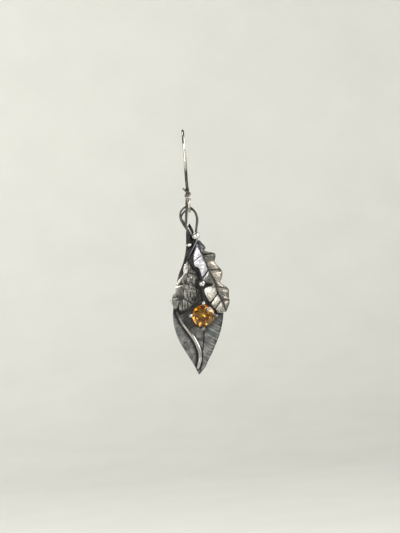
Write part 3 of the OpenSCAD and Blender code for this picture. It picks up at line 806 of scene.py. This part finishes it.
def left_leaf_finish():
    """Mid grey in streaks along the leaf, and cream where the polish and painted highlight reach 1."""
    made = Finish("mottled_leaf", relief="relief", depth=0.9, patches=0.4, grain=0.5, marks=0.5, pits=0.7)
    tree = made.tree
    rubbed_and_highlight = ramp(tree, made.written("polish_and_highlight"), 0.55, 0.95)
    sockets = {"Vector": made.place, "Rotation": (0, 0.2, 0), "Scale": (1, 1, 0.22)}
    along = add(tree, "ShaderNodeMapping", sockets).outputs[0]
    streaks = cloudy(tree, along, 4, 4, 0.68)
    made.height = maths(tree, "ADD", made.height, maths(tree, "MULTIPLY", streaks, 2))
    made.darken(ramp(tree, streaks, 0.38, 0.62, -0.3, 0.8))
    made.darken_gaps_and_shadows(0.4, 0.75)
    made.dark = maths(tree, "MULTIPLY", made.dark, ramp(tree, rubbed_and_highlight, 0, 1, 1, 0.1))
    toned = mixed(tree, made.cloud, LEFT_GREY, LEFT_OLIVE)
    high = mixed(tree, rubbed_and_highlight, toned, LEFT_RUBBED_AND_HIGHLIGHT)
    return made.close(high, LEFT_BLACK, smooth=0.24, rough=0.42, bump=0.05)


left_stations = lobe_stations(LEFT_ROWS)
left_mesh = leaf_sheet(LEFT_ROWS, left_stations, LOBED_SHARES, left_front, left_back, "polish_and_highlight")
left_leaf = as_piece(hung(left_mesh), "left_leaf", left_leaf_finish())
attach(left_leaf, "drop")
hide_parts("leaf_drop")


# Stem and tendril
# Two tapered silver wires: the thin straight stem of the left leaf, and the thick curling tendril below
# it. Both are soldered along the back leaf, and the tendril is filed to a satin face with a polished crest.
STEM_R = 0.18
TENDRIL_R = 0.43

# x, y, z and share of the radius along each
STEM_LINE = [(1.1, -0.3, -24.5, 1), (0, -0.28, -26.2, 1), (-1.45, 0, -28.5, 1), (-1.5, 0.25, -29.1, 1)]
TENDRIL_LINE = [
    (-4.85, 0.15, -40, 0.5), (-4.6, 0.1, -40.8, 0.58), (-3.95, 0.02, -42.2, 0.74),
    (-3.07, -0.02, -43.7, 0.86), (-2.22, -0.02, -45, 0.92), (-1.43, -0.02, -46.4, 0.96),
    (-0.84, -0.02, -47.9, 1), (-0.52, 0, -49.3, 1), (-0.54, 0, -50.6, 0.98), (-0.88, 0, -51.8, 0.9),
    (-1.3, 0.05, -52.8, 0.62),
]

# How far each is darkened towards its end at the left leaf, and between which heights
END_DARKENING = 0.8
STEM_DARKENED_Z = (-25, -28.5)
TENDRIL_DARKENED_Z = (-43.4, -41.3)
STEM_GREY = (0.17, 0.17, 0.185, 1)
TENDRIL_SILVER = (0.55, 0.54, 0.52, 1)
SATIN_BLACK = (0.06, 0.06, 0.06, 1)


def satin_finish(name, silver, darkened_z):
    made = Finish(name, relief=0.85, depth=0.5, patches=0.3, grain=0.3, marks=0.9, pits=0.25)
    # Darkened towards its end at the left leaf
    made.darken(ramp(made.tree, made.z, *darkened_z, 0, END_DARKENING))
    return made.close(silver, SATIN_BLACK, smooth=0.2, rough=0.3, bump=0.02)


def twig(name, radius, line, steps, material):
    """A tapered wire soldered along the drop."""
    mesh = hung(swept_wire([(x, y, z, share * radius) for x, y, z, share in line], steps=steps, sides=20))
    roughened(mesh, depth=0.008, grain=1.5)
    piece = as_piece(mesh, name, material)
    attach(piece, "drop")
    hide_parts("leaf_drop")
    return piece


stem_silver = satin_finish("stem_silver", STEM_GREY, STEM_DARKENED_Z)
tendril_silver = satin_finish("tendril_silver", TENDRIL_SILVER, TENDRIL_DARKENED_Z)
left_stem = twig("left_stem", STEM_R, STEM_LINE, 30, stem_silver)
tendril = twig("tendril", TENDRIL_R, TENDRIL_LINE, 80, tendril_silver)


# Granules
# Scraps of silver melted into balls and soldered on: the large one hides the foot of the bail, two small
# ones sit beside the stem, and one closes the gap between the leaves. They are polished.
GRANULE_SILVER = (0.74, 0.73, 0.69, 1)
GRANULE_TONED = (0.12, 0.12, 0.115, 1)

# Name, x, y, z and width
GRANULES = [
    ("large_granule", 0.84, -0.15, -23.5, 1.8),
    ("middle_granule", -0.72, 0, -25.35, 1.05),
    ("small_granule", -1.4, 0.2, -25.35, 0.62),
    ("centre_granule", 1.25, -0.75, -34.15, 1.5),
]


def granule_finish():
    made = Finish(
        "polished_granule", relief=0.8, depth=0.6, patches=0.6, grain=0.5, marks=0.3, pits=0.5,
        fineness=1.5)
    return made.close(GRANULE_SILVER, GRANULE_TONED, smooth=0.18, rough=0.3, bump=0.02)


granule_metal = granule_finish()
granules = []
for granule_name, x, y, z, width in GRANULES:
    granule_mesh = bmesh.new()
    bmesh.ops.create_uvsphere(
        granule_mesh, u_segments=36, v_segments=20, radius=width / 2, matrix=Matrix.Translation((x, y, z)))
    roughened(granule_mesh, depth=0.012, grain=1.2)
    granule = as_piece(hung(granule_mesh), granule_name, granule_metal)
    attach(granule, "drop")
    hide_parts("leaf_drop")
    granules.append(granule)


# Setting
# A ring of silver wire under the stone, with four round wire prongs soldered to it.
# Each prong stands up past the stone's edge, is bent in over it, and its tip is burnished into a bead.
STONE_X = 1.0
STONE_Z = -41.25
STONE_D = 5.0
CULET_Y = 0.05
PAVILION_H = STONE_D * 0.42
CROWN_H = STONE_D * 0.16
GIRDLE_H = 0.12
GIRDLE_Y = CULET_Y - PAVILION_H
GALLERY_R = STONE_D * 0.42
GALLERY_WIRE_R = 0.3
GALLERY_Y = 0.1
PRONG_R = 0.35
PRONG_TURN = -5
SEAT_GAP = 0.06
PRONG_OUT = STONE_D / 2 + PRONG_R + SEAT_GAP

# Distance out from the stone's axis, and depth, along a prong
PRONG_LINE = [
    (GALLERY_R, GALLERY_Y), (GALLERY_R + 0.45, GIRDLE_Y * 0.55), (PRONG_OUT, GIRDLE_Y + 0.25),
    (PRONG_OUT, GIRDLE_Y - GIRDLE_H - 0.2), (PRONG_OUT - 0.28, GIRDLE_Y - GIRDLE_H - 0.56),
]

# Where the prongs are darker: deep down, and at the right and below, by x less z
PRONG_DARKER_Y = (-5.6, -4.2)
PRONG_DARKER_ACROSS = (43, 45)
PRONG_SILVER = (0.86, 0.83, 0.82, 1)
PRONG_BLACK = (0.09, 0.09, 0.085, 1)


def setting_mesh():
    bm = bmesh.new()
    ring_place = Matrix.Translation((GALLERY_R, 0, -GALLERY_Y)) @ Matrix.Rotation(math.radians(90), 4, "X")
    bmesh.ops.create_circle(bm, segments=14, radius=GALLERY_WIRE_R, matrix=ring_place)
    bmesh.ops.spin(
        bm, geom=bm.verts[:] + bm.edges[:], axis=(0, 0, 1), cent=(0, 0, 0), angle=math.tau, steps=72,
        use_merge=True)
    for quarter in range(4):
        prong = swept_wire([(out, 0, -y, PRONG_R) for out, y in PRONG_LINE], steps=24, sides=18)
        turn = Matrix.Rotation(math.radians(PRONG_TURN + 90 * quarter), 4, "Z")
        bmesh.ops.transform(prong, matrix=turn, verts=prong.verts)
        part = bpy.data.meshes.new("prong")
        prong.to_mesh(part)
        prong.free()
        bm.from_mesh(part)
        bpy.data.meshes.remove(part)
    return bm


def on_stone_axis(bm):
    """Stands a mesh on the stone's axis, with its own +Z to the front, and hangs it in the drop."""
    facing = Matrix.Translation((STONE_X, 0, STONE_Z)) @ Matrix.Rotation(math.radians(90), 4, "X")
    bmesh.ops.transform(bm, matrix=facing, verts=bm.verts)
    return hung(bm)


def setting_finish():
    made = Finish("bright_prongs", relief=0.8, depth=0.7, patches=0.7, grain=0.4, marks=0.35, pits=0.3)
    tree = made.tree
    # Darker deep down, and at the right and below
    deep = ramp(tree, made.y, *PRONG_DARKER_Y, 0, 0.7)
    right_and_low = ramp(tree, maths(tree, "SUBTRACT", made.x, made.z), *PRONG_DARKER_ACROSS, 0, 0.6)
    made.darken(maths(tree, "ADD", deep, right_and_low))
    return made.close(PRONG_SILVER, PRONG_BLACK, smooth=0.2, rough=0.4, bump=0.03)


setting = as_piece(on_stone_axis(setting_mesh()), "setting", setting_finish())
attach(setting, "drop")
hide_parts("leaf_drop")


# Toning left in the gaps, and painted shadow
# The drop is blackened in one bath after soldering, then rubbed. The cloth can't reach the narrow gaps
# between the pieces, so they stay dark, and the dark is painted further on the left of each piece as
# shadow.
SHADOW_SHIFT = Vector((0.24, 0, 0.1))


def write_soot_and_shadow(piece, neighbours, reach, behind=False):
    """Writes how near each point's closest neighbour is, from a point shifted so that the dark is painted
    as a shadow on the left: 1 where they touch, and 0 from reach on.

    The back of a sheet stays at 0, unless it is asked for, since its neighbours lie on its front.
    """
    trees = []
    for neighbour in neighbours:
        mesh = neighbour.data
        spots = [vert.co for vert in mesh.vertices]
        trees.append(BVHTree.FromPolygons(spots, [list(face.vertices) for face in mesh.polygons]))
    soot_and_shadow = piece.data.attributes.new("soot_and_shadow", "FLOAT", "POINT")
    for vert in piece.data.vertices:
        if vert.normal.y > 0.5 and not behind:
            continue
        # The point is shifted right and up, so the dark lies most on the left of each neighbour, as a
        # painted shadow
        hits = [tree.find_nearest(vert.co + SHADOW_SHIFT * MM, reach * MM)[3] for tree in trees]
        near = min((hit for hit in hits if hit is not None), default=reach * MM)
        soot_and_shadow.data[vert.index].value = 1 - near / (reach * MM)


on_back_leaf = [right_leaf, left_leaf, setting, left_stem, tendril] + granules + bail_turns
write_soot_and_shadow(back_leaf, on_back_leaf, reach=1.0)
write_soot_and_shadow(left_leaf, [right_leaf, setting, tendril] + granules, reach=1.9)
write_soot_and_shadow(right_leaf, [setting] + granules, reach=0.6)
for turn in bail_turns:
    other_turns = [other for other in bail_turns if other is not turn]
    write_soot_and_shadow(turn, [back_leaf, granules[0]] + other_turns, reach=0.35, behind=True)


# Stone
# A round brilliant of orange-gold quartz: a table, kites and stars on the crown, a thin edge, and a deep
# point behind. It stands in the four prongs, a hair clear of them.
TABLE_R = STONE_D / 2 * 0.56
CROWN_MID_R = 2.0
PAVILION_MID_R = 1.2
CULET_R = 0.03
HALF_FACET = 22.5
STONE_IOR = 1.62
STONE_DEPTH_OF_COLOUR = 400
STONE_GOLD = (0.965, 0.76, 0.02, 1)

# Painted light and shade: it is painted palest round one spot, where light comes back out, amber further
# from it, and brown towards its top
PAINTED_LIGHT_SPOT = (DROP_X + STONE_X + 0.5, 0, STONE_Z - 0.2)
PAINTED_RIM_SHADE_AWAY = (1.3, 2.6)
PAINTED_TOP_SHADE_Z = (STONE_Z + 0.4, STONE_Z + 1.9)
STONE_PAINTED_LIGHT = (1.0, 0.92, 0.76, 1)
STONE_PAINTED_RIM_SHADE = (0.15, 0.075, 0.03, 1)
STONE_PAINTED_TOP_SHADE = (0.13, 0.04, 0.01, 1)


def facet_ring(bm, count, radius, height, turn=0):
    place = Matrix.Translation((0, 0, height)) @ Matrix.Rotation(math.radians(turn), 4, "Z")
    bmesh.ops.create_circle(bm, segments=count, radius=radius, matrix=place)


def stone_mesh():
    """Points of the facets, level by level from the table to the culet, and the hull that they span."""
    bm = bmesh.new()
    stone_r = STONE_D / 2
    girdle_back = -GIRDLE_Y
    girdle_front = girdle_back + GIRDLE_H
    reach = math.cos(math.radians(HALF_FACET))
    crown_mid_h = CROWN_H * (stone_r - CROWN_MID_R * reach) / (stone_r - TABLE_R)
    pavilion_mid_h = PAVILION_H * (1 - PAVILION_MID_R * reach / stone_r)
    facet_ring(bm, 8, TABLE_R, girdle_front + CROWN_H)
    facet_ring(bm, 8, CROWN_MID_R, girdle_front + crown_mid_h, HALF_FACET)
    facet_ring(bm, 16, stone_r, girdle_front)
    facet_ring(bm, 16, stone_r, girdle_back)
    facet_ring(bm, 8, PAVILION_MID_R, girdle_back - pavilion_mid_h, HALF_FACET)
    facet_ring(bm, 8, CULET_R, -CULET_Y)
    bmesh.ops.convex_hull(bm, input=bm.verts)
    loose = [edge for edge in bm.edges if not edge.link_faces]
    bmesh.ops.delete(bm, geom=loose, context="EDGES")
    bmesh.ops.dissolve_limit(bm, angle_limit=math.radians(1), verts=bm.verts, edges=bm.edges)
    return bm


def stone_glass():
    """Clear orange-gold stone that takes most of its colour from its depth, with painted light and shade:
    paler round a spot near its middle, darker further from it and towards its top.
    """
    material, tree, shader = new_material("orange_quartz")
    place = millimetres(tree)
    flat = add(tree, "ShaderNodeVectorMath", {0: place, 1: (1, 0, 1)}, operation="MULTIPLY").outputs[0]
    # Painted light round one spot, and painted shade further from it and towards the top
    from_painted_light = maths(tree, "ADD", distance(tree, flat, PAINTED_LIGHT_SPOT), cloudy(tree, place, 0.9, 2))
    colour = mixed(tree, ramp(tree, from_painted_light, *PAINTED_RIM_SHADE_AWAY), STONE_PAINTED_LIGHT, STONE_PAINTED_RIM_SHADE)
    height = add(tree, "ShaderNodeSeparateXYZ", {0: place}).outputs["Z"]
    colour = mixed(tree, ramp(tree, height, *PAINTED_TOP_SHADE_Z, 0, 0.92), colour, STONE_PAINTED_TOP_SHADE)
    tree.links.new(colour, shader.inputs["Base Color"])
    shader.inputs["Metallic"].default_value = 0
    shader.inputs["Roughness"].default_value = 0.01
    shader.inputs["IOR"].default_value = STONE_IOR
    shader.inputs["Transmission Weight"].default_value = 1
    sockets = {"Color": STONE_GOLD, "Density": STONE_DEPTH_OF_COLOUR}
    depth = add(tree, "ShaderNodeVolumeAbsorption", sockets)
    tree.links.new(depth.outputs[0], tree.nodes["Material Output"].inputs["Volume"])
    return material


stone = as_piece(on_stone_axis(stone_mesh()), "cut_stone", stone_glass(), crease=0.5)
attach(stone, "drop")
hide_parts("stone")


# Backdrop
# A pale paper floor that curves up all round into a low wall, so that no seam shows from any side.
# It stands well below the hanging earring.
FLOOR_Z = -160
PAPER_DARK = (0.74, 0.74, 0.70, 1)
PAPER_PALE = (0.77, 0.77, 0.73, 1)

# Distance out and height along the floor's curved rim
SWEEP_PROFILE = [(650, 0), (760, 14), (850, 60), (905, 140), (925, 240), (930, 420)]


def paper():
    material, tree, shader = new_material("pale_paper")
    coords = add(tree, "ShaderNodeTexCoord")
    fibre = ramp(tree, cloudy(tree, coords.outputs["Object"], 30, 4), 0.3, 0.7)
    tree.links.new(mixed(tree, fibre, PAPER_DARK, PAPER_PALE), shader.inputs["Base Color"])
    shader.inputs["Roughness"].default_value = 0.9
    return material


floor_mesh = bmesh.new()
bmesh.ops.create_circle(
    floor_mesh, segments=96, radius=SWEEP_PROFILE[0][0], cap_ends=True,
    matrix=Matrix.Translation((0, 0, FLOOR_Z)))
rim = [edge for edge in floor_mesh.edges if edge.is_boundary]
for (out, up), (before_out, before_up) in zip(SWEEP_PROFILE[1:], SWEEP_PROFILE):
    grown = bmesh.ops.extrude_edge_only(floor_mesh, edges=rim)["geom"]
    rim = [part for part in grown if isinstance(part, bmesh.types.BMEdge)]
    raised = [part for part in grown if isinstance(part, bmesh.types.BMVert)]
    wider = out / before_out
    bmesh.ops.scale(floor_mesh, vec=(wider, wider, 1), verts=raised)
    bmesh.ops.translate(floor_mesh, vec=(0, 0, up - before_up), verts=raised)
floor = as_piece(floor_mesh, "paper_floor", paper())


# Lights and camera
# A dim room with a bright paper ground: lamps wash the ground, one soft light comes from the upper
# right, and a window low on the left shows in the burnished leaf. The camera looks level through a long
# lens, rolled a little.
LOOK_AT = Vector((1.227, LEG_Y, -30.34))
LENS = 105
SENSOR = 36
FRAME_H = 118.3
ROLL = 5
EARRING = LOOK_AT * MM
GROUND_WHITE = (1.0, 1.0, 0.97)
ROOM_GREY = (0.83, 0.86, 0.85, 1)
ROOM_LIGHT = 0.12

# Name, place, aim and width of a soft box in metres, its power in watts, and its colour
SOFT_BOXES = [
    ("key", (0.46, -0.09, 0.22), EARRING, 0.4, 3.2, (1.0, 0.99, 0.96)),
    ("window", (-0.20, -0.46, 0.10), EARRING, 0.26, 1.6, (1.0, 0.98, 0.95)),
    ("ground_behind", (-0.25, 0.2, 0.45), (-0.2, 0.93, -0.03), 0.4, 3.5, GROUND_WHITE),
    ("ground_left", (-0.3, 0, 0.45), (-0.93, 0, -0.03), 0.4, 1.2, GROUND_WHITE),
    ("ground_right", (0.3, 0, 0.45), (0.93, 0, -0.03), 0.4, 1.4, GROUND_WHITE),
    ("ground_before", (0, -0.3, 0.45), (0, -0.93, -0.03), 0.4, 0.3, GROUND_WHITE),
]

for light_name, place, aim, size, power, light_colour in SOFT_BOXES:
    light_data = bpy.data.lights.new(light_name, "AREA")
    light_data.size = size
    light_data.energy = power
    light_data.color = light_colour
    light = bpy.data.objects.new(light_name, light_data)
    light.location = place
    light.rotation_euler = (Vector(aim) - Vector(place)).to_track_quat("-Z", "Y").to_euler()
    bpy.context.scene.collection.objects.link(light)

world = bpy.data.worlds.new("room")
world.use_nodes = True
world.node_tree.nodes["Background"].inputs["Color"].default_value = ROOM_GREY
world.node_tree.nodes["Background"].inputs["Strength"].default_value = ROOM_LIGHT
bpy.context.scene.world = world
bpy.context.scene.view_settings.view_transform = "Standard"

camera_data = bpy.data.cameras.new("camera")
camera_data.lens = LENS
camera_data.sensor_width = SENSOR
camera_data.clip_start = 0.01
camera = bpy.data.objects.new("camera", camera_data)
camera.location = (LOOK_AT - Vector((0, FRAME_H * LENS / SENSOR, 0))) * MM
camera.rotation_euler = (math.radians(90), math.radians(ROLL), 0)
bpy.context.scene.collection.objects.link(camera)
bpy.context.scene.camera = camera
